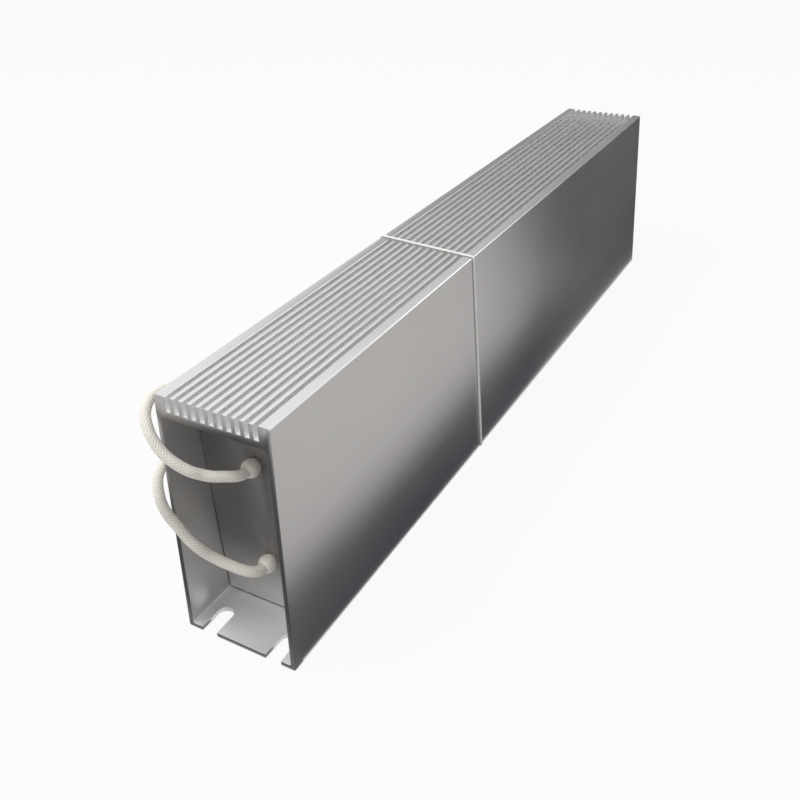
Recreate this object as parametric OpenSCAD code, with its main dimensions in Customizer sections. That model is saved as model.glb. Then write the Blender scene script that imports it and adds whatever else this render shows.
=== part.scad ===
// Aluminium housed power resistor.
// A tall extruded tube with a finned top stands on its slotted base. Inside it, two wound mica
// boards stand one above the other between insulating sheets, packed in mineral powder, closed at
// each end with cement and a recessed plate. Two sleeved leads leave the front plate, fold back
// along the left side and are held there by a tie around the housing.
// Axes: X across the width, Y along the length with the lead end at the lowest Y, Z up.
// The origin is the centre of the base.

/* [Housing] */
// Width of the extrusion
housing_w = 50; // [46:1:50]
// Height of the extrusion, fins included
housing_h = 104; // [103:1:112]
// Length of the extrusion
housing_l = 400; // [390:5:550]
// Thickness of the side walls
wall_t = 2; // [1.6:0.2:3]
// Thickness of the base
base_t = 2; // [1.6:0.2:3]
// Radius along the four outer long edges
edge_r = 0.8; // [0.4:0.1:1.2]

/* [Cooling fins] */
// Depth of the grooves between the fins
fin_h = 6; // [4:0.5:7]
// Number of fins between the two rims
fin_count = 10; // [6:1:12]
// Thickness of one fin
fin_t = 1.8; // [1.2:0.1:2]
// Width of the solid rim on each side
rim_w = 5; // [4:0.5:7]
// Thickness of the web under the grooves
web_t = 3; // [2:0.5:4]

/* [Base slots] */
// Width of the open-ended slots in the base
slot_w = 7; // [5.5:0.5:7]
// Distance from the end of the housing to the bolt centre
slot_in = 9; // [8:0.5:12]
// Spacing of the two slots across the width
slot_pitch = 30; // [26:1:32]

/* [End plates] */
// Thickness of the recessed plates
plate_t = 2; // [1.5:0.5:3]
// Depth of the front plate below the web
front_top_in = 16; // [14:0.5:18]
// Depth of the front plate at the base
front_foot_in = 22; // [18:0.5:22]
// Depth of the rear plate
rear_in = 18; // [14:0.5:20]

/* [Leads] */
// Diameter of the sleeved leads
lead_d = 4; // [3.6:0.1:4]
// Diameter of the stranded conductor
strand_d = 2.2; // [1.6:0.1:2.4]
// Hole in the ring of each cable lug
lug_hole_d = 5.3; // [4.3:0.1:6.4]

/* [Wound boards] */
// Height of one mica board
board_h = 36; // [30:1:38]
// Thickness of one mica board
board_t = 1.5; // [1:0.1:2]
// Diameter of the resistance wire
wire_d = 1.2; // [0.8:0.1:1.4]
// Spacing of the turns
turn_pitch = 7.5; // [6:0.5:12]

/* [Tie] */
// Width of the tie
tie_w = 1.4; // [1:0.1:2]
// Thickness of the tie
tie_t = 0.7; // [0.5:0.1:0.9]

/* [Hidden] */

// Smoothness of the round parts
round_fn = 48;

// Cavity of the extrusion: its four sides, and the fillets at its corners
cavity_x = housing_w / 2 - wall_t;
cavity_low = base_t;
cavity_top = housing_h - fin_h - web_t;
web_fillet_r = 2;
base_fillet_r = 0.8;

// Fins and grooves
groove_w = (housing_w - 2 * rim_w - fin_count * fin_t) / (fin_count + 1);
groove_lip = 0.3;

// Y of the two ends of the housing; every other Y is counted from one of them
front_y = -housing_l / 2;
rear_y = housing_l / 2;

// Depth of the front plate's outer face at a height
function front_in(z) =
    front_foot_in + (front_top_in - front_foot_in) * (z - cavity_low) / (cavity_top - cavity_low);

// The cement ends and the powder begins at these depths from the two ends
front_pack_in = 32;
rear_pack_in = 30;

// Places where the leads pass the front plate: X, and Z of the upper and the lower one
lead_x = 2;
upper_z = 72;
lower_z = 26.5;

// Wound boards, counted from the front end
board_in = 46;
board_l = housing_l - board_in - 34;
notch_w = wire_d + 0.4;
notch_in = 1.5;
wire_gap = 0.02;
wire_x = board_t / 2 + wire_d / 2 + wire_gap;
wire_z = board_h / 2 - notch_in + wire_d / 2 + wire_gap;
first_turn_in = 68;
wire_lead_in = 2;
series_l = 8;
series_in = board_in + board_l - 2 * series_l;
turns = floor((series_in - first_turn_in) / turn_pitch) - 1;

// Strips and rivets that join the wire
strip_t = 0.6;
terminal_in = 41;
terminal_l = 16;
terminal_h = 10;
rivet_d = 3;
rivet_head_d = 5;
rivet_head_t = 0.6;

// Mica sheets on both sides of the boards, just clear of the wire and the rivet heads
sheet_gap = board_t / 2 + max(wire_d, strip_t + rivet_head_t) + 0.1;
sheet_t = 0.8;
sheet_low = 6;
sheet_top = cavity_top - 3;
sheet_l = board_l + 2;

// Crimped splice between each lead and its terminal
splice_d = 3.8;
splice_l = 7;
splice_bore_l = 6;
splice_room = 12;

// Bushings: a ball in front of the plate and a neck through it
ball_d = 7.2;
ball_out = 6.5;
neck_d = 5;
neck_back = 5;
socket_d = lead_d + 0.2;
socket_l = 2;

// Lugs
lug_barrel_d = 4.2;
lug_barrel_l = 6;
lug_t = 0.8;
lug_ring_d = 9.5;
lug_neck_w = 3.6;
lug_ring_y = 13;

// Places of the tie, counted from the front end, at the four corners that it crosses
tie_top_left_in = 154;
tie_top_right_in = 149.5;
tie_base_in = 155.5;
tie_groove_w = tie_w + 0.2;
tie_over_leads_x = -housing_w / 2 - lead_d - 0.15;
tie_over_upper_z = 53.5;
tie_over_lower_z = 43.5;

// Routes of the two leads after they have left their bushings: X, depth from the front end, Z
upper_route = [
    [1.6, 9.3, 72.3], [0.3, 7.1, 72.9], [-2, 5, 73.5], [-5, 2.6, 74.1], [-7.9, 0.5, 75.3],
    [-10, -1.8, 77.2], [-13.2, -3.7, 79.7], [-16, -4.8, 82], [-18.8, -5.3, 84.4], [-21.3, -5.3, 86.8],
    [-23.8, -4.9, 89.6], [-26.2, -3.8, 92.5], [-28.4, -2, 95], [-30, 0.8, 97.2], [-30.8, 4.5, 98.6],
    [-30.5, 9, 98.8], [-29.4, 14, 98.2], [-28, 21, 96.4], [-27.1, 31, 93], [-27.1, 60, 82],
    [-27.1, 90, 71.5], [-27.1, 120, 61.5], [-27.1, 142, 54.5], [-27.2, 156, 50.8],
    [-28.4, 166, 46.6], [-31, 175, 40.5], [-34, 184, 32.5], [-36.8, 192, 23.5],
    [-39, 200, 14.5], [-40.4, 207, 8], [-41, 214, 4], [-41, 221, 2.1], [-41, 227, 2.1]
];
lower_route = [
    [1.6, 12.3, 26.9], [0.4, 10.3, 27.8], [-2.2, 8.6, 29], [-6, 7, 30.7], [-9.6, 5.3, 32.9],
    [-12.8, 3.4, 35.8], [-15.6, 0.8, 40.4], [-18.6, -0.8, 45], [-21, -2, 49.9], [-22.8, -3, 53.5],
    [-24.4, -3.6, 57], [-25.8, -3.6, 60.6], [-27.2, -2.7, 64.2], [-28.6, -1, 67.2],
    [-29.5, 1.8, 69.5], [-29.7, 5.5, 70.9], [-29.1, 10.5, 71.3], [-28, 17, 70.6], [-27.1, 27, 68.4],
    [-27.1, 60, 60.6], [-27.1, 90, 54.4], [-27.1, 120, 49.6], [-27.1, 142, 46.9], [-27.1, 156, 44.6],
    [-27.5, 165, 40], [-28.4, 173, 33], [-29.4, 180, 25], [-30.3, 187, 16.5], [-30.8, 194, 9],
    [-31, 201, 4.2], [-31, 208, 2.1], [-31, 214, 2.1]
];
lead_sides = 10;

// ---- Helpers ----

// A plane outline in X and Z, extruded along Y between two depths from the front end
module along_y(from_in, to_in) {
    translate([0, front_y + to_in, 0])
        rotate([90, 0, 0])
            linear_extrude(to_in - from_in) children();
}

// A plane outline in Y and Z, extruded along X between two places
module along_x(from_x, to_x) {
    translate([from_x, front_y, 0])
        rotate([90, 0, 90])
            linear_extrude(to_x - from_x) children();
}

// A round bar along Y
module bar_y(x, z, d, from_in, to_in) {
    along_y(from_in, to_in)
        translate([x, z]) circle(d = d, $fn = round_fn);
}

// A round bar along X at a depth and height
module bar_x(from_x, to_x, at_in, z, d) {
    along_x(from_x, to_x)
        translate([at_in, z]) circle(d = d, $fn = round_fn);
}

// A block between two X, two depths and two heights
module block(x, depth, z) {
    translate([x[0], front_y + depth[0], z[0]])
        cube([x[1] - x[0], depth[1] - depth[0], z[1] - z[0]]);
}

// What a rounded corner leaves outside its arc, for the corner at the lowest X and Z
module corner_cut(r) {
    difference() {
        translate([-1, -1]) square(r + 1);
        translate([r, r]) circle(r, $fn = round_fn);
    }
}

// A rectangle between two corners, with one radius at its lower corners and one at its upper
module rounded_rectangle(low, high, low_r, high_r) {
    difference() {
        translate(low) square(high - low);
        translate(low) corner_cut(low_r);
        translate([high[0], low[1]]) mirror([1, 0]) corner_cut(low_r);
        translate([low[0], high[1]]) mirror([0, 1]) corner_cut(high_r);
        translate(high) rotate(180) corner_cut(high_r);
    }
}

function unit(v) = v / norm(v);

// A route counted from the front end, moved into the frame of the part
function placed(route) = [for (p = route) [p[0], front_y + p[1], p[2]]];

// A ring of points around the start of a path
function first_ring(path, r, sides) =
    let (d = unit(path[1] - path[0]), u = unit(cross(d, [0, 0, 1])), v = cross(u, d))
        [for (k = [0:sides - 1]) path[0] + r * (cos(360 * k / sides) * u + sin(360 * k / sides) * v)];

// The ring before point i, carried along the path to the plane that halves the bend at i
function carried(ring, path, i) =
    let (d = unit(path[i] - path[i - 1]),
         n = i < len(path) - 1 ? unit(d + unit(path[i + 1] - path[i])) : d)
        [for (q = ring) q + d * (((path[i] - q) * n) / (d * n))];

// One ring for each point of a path
function all_rings(path, r, sides) = [
    for (i = 0, ring = first_ring(path, r, sides); i < len(path);
         i = i + 1, ring = i < len(path) ? carried(ring, path, i) : ring) ring
];

// A round tube swept along a path
module swept(path, r, sides) {
    rings = all_rings(path, r, sides);
    last = (len(path) - 1) * sides;
    polyhedron(
        points = [for (ring = rings) each ring],
        faces = concat(
            [[for (k = [sides - 1:-1:0]) k]],
            [[for (k = [0:sides - 1]) last + k]],
            [for (i = [0:len(path) - 2], k = [0:sides - 1])
                let (a = i * sides + k, b = i * sides + (k + 1) % sides)
                    [a, b, b + sides, a + sides]]
        )
    );
}

// ---- Housing ----

module cavity_outline() {
    rounded_rectangle([-cavity_x, cavity_low], [cavity_x, cavity_top], base_fillet_r, web_fillet_r);
}

// A groove between two fins, with a small lip bevelled on both sides
module groove_outline() {
    polygon([
        [-groove_w / 2, 0], [groove_w / 2, 0], [groove_w / 2, fin_h - groove_lip],
        [groove_w / 2 + groove_lip, fin_h], [groove_w / 2 + groove_lip, fin_h + 1],
        [-groove_w / 2 - groove_lip, fin_h + 1], [-groove_w / 2 - groove_lip, fin_h],
        [-groove_w / 2, fin_h - groove_lip]
    ]);
}

module housing_outline() {
    difference() {
        rounded_rectangle([-housing_w / 2, 0], [housing_w / 2, housing_h], edge_r, edge_r);
        cavity_outline();
        for (i = [0:fin_count])
            translate([-housing_w / 2 + rim_w + groove_w / 2 + i * (groove_w + fin_t),
                       housing_h - fin_h])
                groove_outline();
    }
}

// An open-ended slot in the base, its round end towards the middle of the housing
module base_slot(x, end) {
    center_y = end * (rear_y - slot_in);
    translate([x, center_y, -1]) {
        cylinder(d = slot_w, h = base_t + 2, $fn = round_fn);
        translate([-slot_w / 2, end < 0 ? -slot_in - 1 : 0, 0])
            cube([slot_w, slot_in + 1, base_t + 2]);
    }
}

// The tie crosses the base in a shallow groove, so that the housing stands flat
module tie_groove() {
    block([-housing_w, housing_w],
          [tie_base_in - tie_groove_w / 2, tie_base_in + tie_groove_w / 2], [-1, tie_t]);
}

module housing() {
    color([0.78, 0.79, 0.8])
        difference() {
            along_y(0, housing_l) housing_outline();
            for (x = [-slot_pitch / 2, slot_pitch / 2], end = [-1, 1]) base_slot(x, end);
            tie_groove();
        }
}

// ---- End closures ----

// The leaning slab that the front plate is cut from
module front_slab() {
    along_x(-cavity_x, cavity_x)
        polygon([
            [front_foot_in, cavity_low], [front_foot_in + plate_t, cavity_low],
            [front_top_in + plate_t, cavity_top], [front_top_in, cavity_top]
        ]);
}

module front_end_plate() {
    color([0.66, 0.66, 0.67])
        difference() {
            intersection() {
                front_slab();
                along_y(0, front_pack_in) cavity_outline();
            }
            for (z = [upper_z, lower_z]) bar_y(lead_x, z, neck_d, 0, front_pack_in);
        }
}

module rear_end_plate() {
    color([0.66, 0.66, 0.67])
        along_y(housing_l - rear_in - plate_t, housing_l - rear_in) cavity_outline();
}

module front_cement() {
    color([0.86, 0.84, 0.79])
        difference() {
            intersection() {
                along_x(-cavity_x, cavity_x)
                    polygon([
                        [front_foot_in + plate_t, cavity_low], [front_pack_in, cavity_low],
                        [front_pack_in, cavity_top], [front_top_in + plate_t, cavity_top]
                    ]);
                along_y(0, front_pack_in) cavity_outline();
            }
            for (z = [upper_z, lower_z]) {
                bar_y(lead_x, z, neck_d, 0, neck_end_in(z));
                bar_y(lead_x, z, strand_d, 0, front_pack_in + 1);
            }
        }
}

module rear_cement() {
    color([0.86, 0.84, 0.79])
        along_y(housing_l - rear_pack_in, housing_l - rear_in - plate_t) cavity_outline();
}

// ---- Packing and insulation ----

module powder_fill() {
    color([0.9, 0.88, 0.83])
        difference() {
            along_y(front_pack_in, housing_l - rear_pack_in) cavity_outline();
            block([-sheet_gap - sheet_t, sheet_gap + sheet_t],
                  [board_in - 1, board_in - 1 + sheet_l], [sheet_low, sheet_top]);
            for (z = [upper_z, lower_z])
                block([-sheet_gap, lead_x + sheet_gap + 1], [front_pack_in - 1, board_in],
                      [z - splice_room / 2, z + splice_room / 2]);
        }
}

module mica_sheet(x) {
    block([x, x + sheet_t], [board_in - 1, board_in - 1 + sheet_l], [sheet_low, sheet_top]);
}

module left_mica_sheet() {
    color([0.75, 0.68, 0.5]) mica_sheet(-sheet_gap - sheet_t);
}

module right_mica_sheet() {
    color([0.75, 0.68, 0.5]) mica_sheet(sheet_gap);
}

// ---- Wound boards ----

// A mica board with a notch in each long edge for every turn, and two rivet holes
module board(z) {
    color([0.7, 0.62, 0.42])
        difference() {
            block([-board_t / 2, board_t / 2], [board_in, board_in + board_l],
                  [z - board_h / 2, z + board_h / 2]);
            along_x(-board_t, board_t)
                for (i = [0:turns - 1], side = [-1, 1])
                    translate([first_turn_in + i * turn_pitch - notch_w / 2,
                               z + side * board_h / 2 - notch_in])
                        square([notch_w, 2 * notch_in]);
            for (at_in = rivet_ins()) bar_x(-board_t, board_t, at_in, z, rivet_d);
        }
}

module upper_board() board(upper_z);

module lower_board() board(lower_z);

// The wire goes straight up the left face of its board, over the notched edge, and down the
// right face on a slant to the next notch
function winding_path(z) = placed(concat(
    [[wire_x, terminal_in + terminal_l, z], [wire_x, terminal_in + terminal_l + wire_lead_in, z]],
    [for (i = [0:turns - 1], corner = [[1, -1], [-1, -1], [-1, 1], [1, 1]])
        [corner[0] * wire_x, first_turn_in + i * turn_pitch, z + corner[1] * wire_z]],
    [[wire_x, series_in - wire_lead_in, z], [wire_x, series_in, z]]
));

module upper_winding() {
    color([0.5, 0.48, 0.46]) swept(winding_path(upper_z), wire_d / 2, 6);
}

module lower_winding() {
    color([0.5, 0.48, 0.46]) swept(winding_path(lower_z), wire_d / 2, 6);
}

// ---- Strips, rivets and splices ----

function rivet_ins() = [board_in + 6, series_in + series_l / 2];

module terminal(z) {
    color([0.72, 0.7, 0.66])
        difference() {
            block([board_t / 2, board_t / 2 + strip_t], [terminal_in, terminal_in + terminal_l],
                  [z - terminal_h / 2, z + terminal_h / 2]);
            bar_x(0, board_t + strip_t, rivet_ins()[0], z, rivet_d);
        }
}

module upper_terminal() terminal(upper_z);

module lower_terminal() terminal(lower_z);

// The strip at the rear joins the two windings in series
module series_strip() {
    color([0.72, 0.7, 0.66])
        difference() {
            block([board_t / 2, board_t / 2 + strip_t], [series_in, series_in + series_l],
                  [lower_z - terminal_h / 2, upper_z + terminal_h / 2]);
            for (z = [upper_z, lower_z])
                bar_x(0, board_t + strip_t, rivet_ins()[1], z, rivet_d);
        }
}

// A solid rivet through a board and a strip
module rivet(at_in, z) {
    left = -board_t / 2;
    right = board_t / 2 + strip_t;
    bar_x(left - rivet_head_t, left, at_in, z, rivet_head_d);
    bar_x(left - rivet_head_t, right + rivet_head_t, at_in, z, rivet_d);
    bar_x(right, right + rivet_head_t, at_in, z, rivet_head_d);
}

module terminal_rivets() {
    color([0.8, 0.79, 0.76])
        for (z = [upper_z, lower_z]) rivet(rivet_ins()[0], z);
}

module strip_rivets() {
    color([0.8, 0.79, 0.76])
        for (z = [upper_z, lower_z]) rivet(rivet_ins()[1], z);
}

// A barrel crimped on the conductor, with its closed end on the edge of the terminal
module splice(z) {
    color([0.76, 0.75, 0.72])
        difference() {
            bar_y(lead_x, z, splice_d, terminal_in - splice_l, terminal_in);
            bar_y(lead_x, z, strand_d, terminal_in - splice_l - 1,
                  terminal_in - splice_l + splice_bore_l);
        }
}

module upper_splice() splice(upper_z);

module lower_splice() splice(lower_z);

// ---- Leads ----

// Depth of the mouth of a bushing, of the end of its socket and of the end of its neck
function mouth_in(z) = front_in(z) - ball_out;
function socket_in(z) = mouth_in(z) + socket_l;
function neck_end_in(z) = front_in(z) + plate_t + neck_back;

// The ball stands just clear of the plate on its neck
module bushing(z) {
    color([0.9, 0.88, 0.82])
        difference() {
            union() {
                difference() {
                    translate([lead_x, front_y + mouth_in(z) + ball_d / 2, z])
                        rotate([-90, 0, 0])
                            rotate_extrude($fn = round_fn)
                                intersection() {
                                    circle(d = ball_d, $fn = round_fn);
                                    translate([0, -ball_d])
                                        square([ball_d, 2 * ball_d]);
                                }
                    front_slab();
                }
                bar_y(lead_x, z, neck_d, front_in(z) - 1, neck_end_in(z));
            }
            bar_y(lead_x, z, socket_d, mouth_in(z) - 1, socket_in(z));
            bar_y(lead_x, z, strand_d, mouth_in(z) - 1, neck_end_in(z) + 1);
        }
}

module upper_bushing() bushing(upper_z);

module lower_bushing() bushing(lower_z);

// The bare conductor runs from the bottom of the socket to the bottom of the splice
module conductor(z) {
    color([0.75, 0.72, 0.68])
        bar_y(lead_x, z, strand_d, socket_in(z), terminal_in - splice_l + splice_bore_l);
}

module upper_conductor() conductor(upper_z);

module lower_conductor() conductor(lower_z);

// The path of a lead: straight to the mouth of its bushing, and on along its route
function lead_path(route, z) = placed(concat(
    [[lead_x, socket_in(z), z], [lead_x, mouth_in(z), z]],
    route
));

module upper_lead() {
    color([0.92, 0.91, 0.87]) swept(lead_path(upper_route, upper_z), lead_d / 2, lead_sides);
}

module lower_lead() {
    color([0.92, 0.91, 0.87]) swept(lead_path(lower_route, lower_z), lead_d / 2, lead_sides);
}

// A ring lug that lies flat, its barrel on the end of a route
module lug(route) {
    end = placed(route)[len(route) - 1];
    color([0.8, 0.8, 0.79])
        translate([end[0], end[1], 0]) {
            translate([0, 0, lug_barrel_d / 2])
                rotate([-90, 0, 0]) cylinder(d = lug_barrel_d, h = lug_barrel_l, $fn = round_fn);
            translate([-lug_neck_w / 2, 0, 0])
                rotate([90, 0, 90])
                    linear_extrude(lug_neck_w)
                        polygon([
                            [lug_barrel_l - 1, 0], [lug_barrel_l + 3, 0], [lug_barrel_l + 3, lug_t],
                            [lug_barrel_l, lug_barrel_d - 1], [lug_barrel_l - 1, lug_barrel_d - 1]
                        ]);
            linear_extrude(lug_t)
                difference() {
                    union() {
                        translate([-lug_neck_w / 2, 1])
                            square([lug_neck_w, lug_ring_y - 1]);
                        translate([0, lug_ring_y]) circle(d = lug_ring_d, $fn = round_fn);
                    }
                    translate([0, lug_ring_y]) circle(d = lug_hole_d, $fn = round_fn);
                }
        }
}

module upper_lug() lug(upper_route);

module lower_lug() lug(lower_route);

// ---- Tie ----

// Corners that the tie crosses: X and Z of its inner side, the way out to its outer side, depth
tie_corners = [
    [-housing_w / 2, housing_h, [-1, 1], tie_top_left_in],
    [housing_w / 2, housing_h, [1, 1], tie_top_right_in],
    [housing_w / 2, tie_t, [1, -1], tie_base_in],
    [-housing_w / 2, tie_t, [-1, -1], tie_base_in],
    [tie_over_leads_x, tie_over_lower_z, [-1, 0], tie_base_in],
    [tie_over_leads_x, tie_over_upper_z, [-1, 0], tie_top_left_in + 1]
];

// A flat band with four long edges, closed on itself
module tie() {
    n = len(tie_corners);
    points = [
        for (c = tie_corners, edge = [[0, -1], [0, 1], [1, 1], [1, -1]])
            [c[0] + edge[0] * tie_t * c[2][0], front_y + c[3] + edge[1] * tie_w / 2,
             c[1] + edge[0] * tie_t * c[2][1]]
    ];
    color([0.93, 0.92, 0.89])
        polyhedron(
            points = points,
            faces = [
                for (i = [0:n - 1], k = [0:3])
                    let (a = 4 * i + k, b = 4 * i + (k + 1) % 4,
                         c = 4 * ((i + 1) % n) + (k + 1) % 4, d = 4 * ((i + 1) % n) + k)
                        each [[a, b, c], [a, c, d]]
            ]
        );
}

housing();
front_end_plate();
rear_end_plate();
front_cement();
rear_cement();
powder_fill();
left_mica_sheet();
right_mica_sheet();
upper_board();
lower_board();
upper_winding();
lower_winding();
series_strip();
strip_rivets();
upper_terminal();
lower_terminal();
terminal_rivets();
upper_splice();
lower_splice();
upper_conductor();
lower_conductor();
upper_bushing();
lower_bushing();
upper_lead();
lower_lead();
upper_lug();
lower_lug();
tie();
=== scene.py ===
# %% [markdown]
# # An aluminium housed power resistor
# The real thing is a length of extruded aluminium tube with cooling fins on top. Two resistance windings
# are sealed inside it, and two leads in glass-fibre sleeves come out of one end. This lesson dresses the
# solid model of it: it loads the solids, makes the soft parts anew, and gives each surface its finish.

# %% Load the solid model
import math

import bmesh
import bpy
import numpy as np
from mathutils import Euler, Matrix, Vector


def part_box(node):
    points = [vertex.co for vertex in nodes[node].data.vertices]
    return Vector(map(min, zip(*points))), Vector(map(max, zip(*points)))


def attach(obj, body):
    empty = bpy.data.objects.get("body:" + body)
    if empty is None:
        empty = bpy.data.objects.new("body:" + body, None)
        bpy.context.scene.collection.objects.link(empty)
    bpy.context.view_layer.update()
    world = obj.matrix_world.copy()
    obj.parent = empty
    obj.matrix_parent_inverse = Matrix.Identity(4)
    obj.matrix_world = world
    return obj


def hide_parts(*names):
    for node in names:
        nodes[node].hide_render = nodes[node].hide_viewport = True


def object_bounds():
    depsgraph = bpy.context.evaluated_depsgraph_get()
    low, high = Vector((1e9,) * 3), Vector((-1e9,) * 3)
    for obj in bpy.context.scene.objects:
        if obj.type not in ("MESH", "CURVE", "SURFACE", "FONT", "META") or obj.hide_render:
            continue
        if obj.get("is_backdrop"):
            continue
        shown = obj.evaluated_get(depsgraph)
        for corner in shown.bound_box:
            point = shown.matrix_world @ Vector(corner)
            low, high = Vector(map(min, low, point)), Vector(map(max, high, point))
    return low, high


MM = 0.001
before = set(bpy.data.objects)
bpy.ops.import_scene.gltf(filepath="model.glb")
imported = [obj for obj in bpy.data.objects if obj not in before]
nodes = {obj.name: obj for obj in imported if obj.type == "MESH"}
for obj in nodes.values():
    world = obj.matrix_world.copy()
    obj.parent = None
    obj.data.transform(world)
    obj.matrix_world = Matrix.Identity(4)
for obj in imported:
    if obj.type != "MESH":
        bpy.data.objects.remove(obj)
solid_box = [list(corner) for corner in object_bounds()]
housing_low, housing_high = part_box("housing")
housing_length = housing_high.y - housing_low.y
print("solids loaded:", len(nodes), "and the housing is", round(housing_length / MM), "mm long")

# %% [markdown]
# ## The camera
# A camera is easiest to describe the way a person would hold it: where it stands, how far it is turned,
# how far it looks down, and how much it leans. The lens is a short telephoto, which keeps the far end of
# the housing from shrinking too fast. The shift moves the picture on the sensor without turning the lens.

# %% Set up the camera
CAMERA_PLACE = Vector((0.1996, -0.4041, 0.2802))
TURNED = math.radians(29.39)
LOOKING_DOWN = math.radians(22.37)
LEANING = math.radians(-1.93)
LENS_MM, SENSOR_MM = 43.4, 36
SHIFT_ACROSS, SHIFT_UP = -0.03, -0.2125
NEAREST_SEEN = 10 * MM

camera_data = bpy.data.cameras.new("camera")
camera_data.lens = LENS_MM
camera_data.sensor_width = SENSOR_MM
camera_data.shift_x = SHIFT_ACROSS
camera_data.shift_y = SHIFT_UP
camera_data.clip_start = NEAREST_SEEN
camera = bpy.data.objects.new("camera", camera_data)
bpy.context.scene.collection.objects.link(camera)
looking = Euler((math.pi / 2 - LOOKING_DOWN, 0, TURNED)).to_matrix()
leaning = Matrix.Rotation(LEANING, 3, "Z")
camera.matrix_world = Matrix.Translation(CAMERA_PLACE) @ (looking @ leaning).to_4x4()
bpy.context.scene.camera = camera
print("camera stands", round((CAMERA_PLACE - housing_low).length, 3), "m from the near foot of the housing")

# %% [markdown]
# ## One helper that turns a grid of points into a mesh
# Every new surface here is a grid: rows of points that run around something, one row after another. The
# helper joins the neighbours with four-sided faces, closes the grid around each row, and puts a fan of
# triangles over each end. The arrays go into the mesh in one step, so nothing loops over the points.

# %% Make meshes from grids
FIRST_QUARTER, LAST_QUARTER = 0.25, 0.75


def grid_faces(rows, columns, joined=False):
    """Four-sided faces between neighbouring rows. Each row is closed, and with joined the last row
    meets the first one."""
    row, column = np.meshgrid(np.arange(rows if joined else rows - 1), np.arange(columns), indexing="ij")
    after, beside = (row + 1) % rows, (column + 1) % columns
    corners = (row * columns + column, row * columns + beside, after * columns + beside,
               after * columns + column)
    return np.stack(corners, axis=-1).reshape(-1, 4)


def mesh_piece(name, grid, joined=False, uv=None):
    """A smooth closed mesh from an array of points with the shape rows x columns x 3, in metres."""
    rows, columns = grid.shape[:2]
    points = grid.reshape(-1, 3)
    faces = grid_faces(rows, columns, joined).tolist()
    if not joined:
        points = np.vstack([points, grid[0].mean(axis=0), grid[-1].mean(axis=0)])
        first_middle, last_middle = len(points) - 2, len(points) - 1
        last = (rows - 1) * columns
        beside = [(k + 1) % columns for k in range(columns)]
        faces += [[beside[k], k, first_middle] for k in range(columns)]
        faces += [[last + k, last + beside[k], last_middle] for k in range(columns)]
    mesh = bpy.data.meshes.new(name)
    mesh.from_pydata(points.tolist(), [], faces)
    mesh.shade_smooth()
    if uv is not None:
        write_uv(mesh, uv)
    piece = bpy.data.objects.new(name, mesh)
    bpy.context.scene.collection.objects.link(piece)
    print("made", name, "with", len(faces), "faces")
    return piece


def write_uv(mesh, uv):
    """Writes one (around, along) pair for each face corner. The last column's faces meet the first
    column again, where around has to read 1 and not 0. Such a face reaches from the last quarter of a
    turn into the first."""
    layer = mesh.uv_layers.new(name="sleeve")
    corner_points = np.zeros(len(mesh.loops), dtype=np.int32)
    mesh.loops.foreach_get("vertex_index", corner_points)
    flat = np.vstack([uv.reshape(-1, 2), uv[0].mean(axis=0), uv[-1].mean(axis=0)])
    values = flat[np.minimum(corner_points, len(flat) - 1)]
    sizes = np.zeros(len(mesh.polygons), dtype=np.int32)
    mesh.polygons.foreach_get("loop_total", sizes)
    face_of_corner = np.repeat(np.arange(len(sizes)), sizes)
    highest = np.zeros(len(sizes))
    np.maximum.at(highest, face_of_corner, values[:, 0])
    wraps = (highest[face_of_corner] > LAST_QUARTER) & (values[:, 0] < FIRST_QUARTER)
    values[:, 0] += wraps
    layer.data.foreach_set("uv", values.astype(np.float32).ravel())


print("a tube of 5 rows with 8 points in each has", len(grid_faces(5, 8)), "faces, and a ring has",
      len(grid_faces(5, 8, joined=True)))

# %% [markdown]
# ## A smooth line through the places a lead passes
# A lead is stiff enough to bend in long curves. The line through its places is a natural cubic spline,
# which is the shape that a thin strip of wood takes when it is held at a few pins. A tube needs a
# sideways direction at every ring as well. It is carried along the line and turned only as much as the
# line itself turns, so that the sleeve never twists.

# %% Lines and tubes
FINE_POINTS = 40
NO_LINE_RUNS_THIS_WAY = (0.3, 0.1, 1.0)


def smooth_line(places, step):
    """A natural cubic spline through the places, with points about step apart. The unknowns are the
    second derivatives at the places, which solve one set of linear equations."""
    places = np.asarray(places, float)
    spans = np.linalg.norm(np.diff(places, axis=0), axis=1)
    knots = np.concatenate([[0], np.cumsum(spans)])
    count = len(places)
    system = np.eye(count)
    slopes = np.diff(places, axis=0) / spans[:, None]
    wanted = np.zeros_like(places)
    inner = np.arange(1, count - 1)
    system[inner, inner - 1] = spans[:-1]
    system[inner, inner] = 2 * (spans[:-1] + spans[1:])
    system[inner, inner + 1] = spans[1:]
    wanted[inner] = 6 * np.diff(slopes, axis=0)
    bend = np.linalg.solve(system, wanted)
    fine = np.linspace(0, knots[-1], FINE_POINTS * count)
    i = np.clip(np.searchsorted(knots, fine, side="right") - 1, 0, count - 2)
    h, a, b = spans[i][:, None], (knots[i + 1] - fine)[:, None], (fine - knots[i])[:, None]
    line = (bend[i] * a ** 3 + bend[i + 1] * b ** 3) / (6 * h)
    line += (places[i] / h - bend[i] * h / 6) * a + (places[i + 1] / h - bend[i + 1] * h / 6) * b
    return evenly(line, step)


def evenly(line, step):
    """The same line with its points at equal distances of about step."""
    along = np.concatenate([[0], np.cumsum(np.linalg.norm(np.diff(line, axis=0), axis=1))])
    marks = np.linspace(0, along[-1], max(2, round(along[-1] / step) + 1))
    return np.stack([np.interp(marks, along, line[:, axis]) for axis in range(3)], axis=1)


def line_length(line):
    """The sum of the distances between neighbouring points."""
    return float(np.linalg.norm(np.diff(line, axis=0), axis=1).sum())


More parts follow.
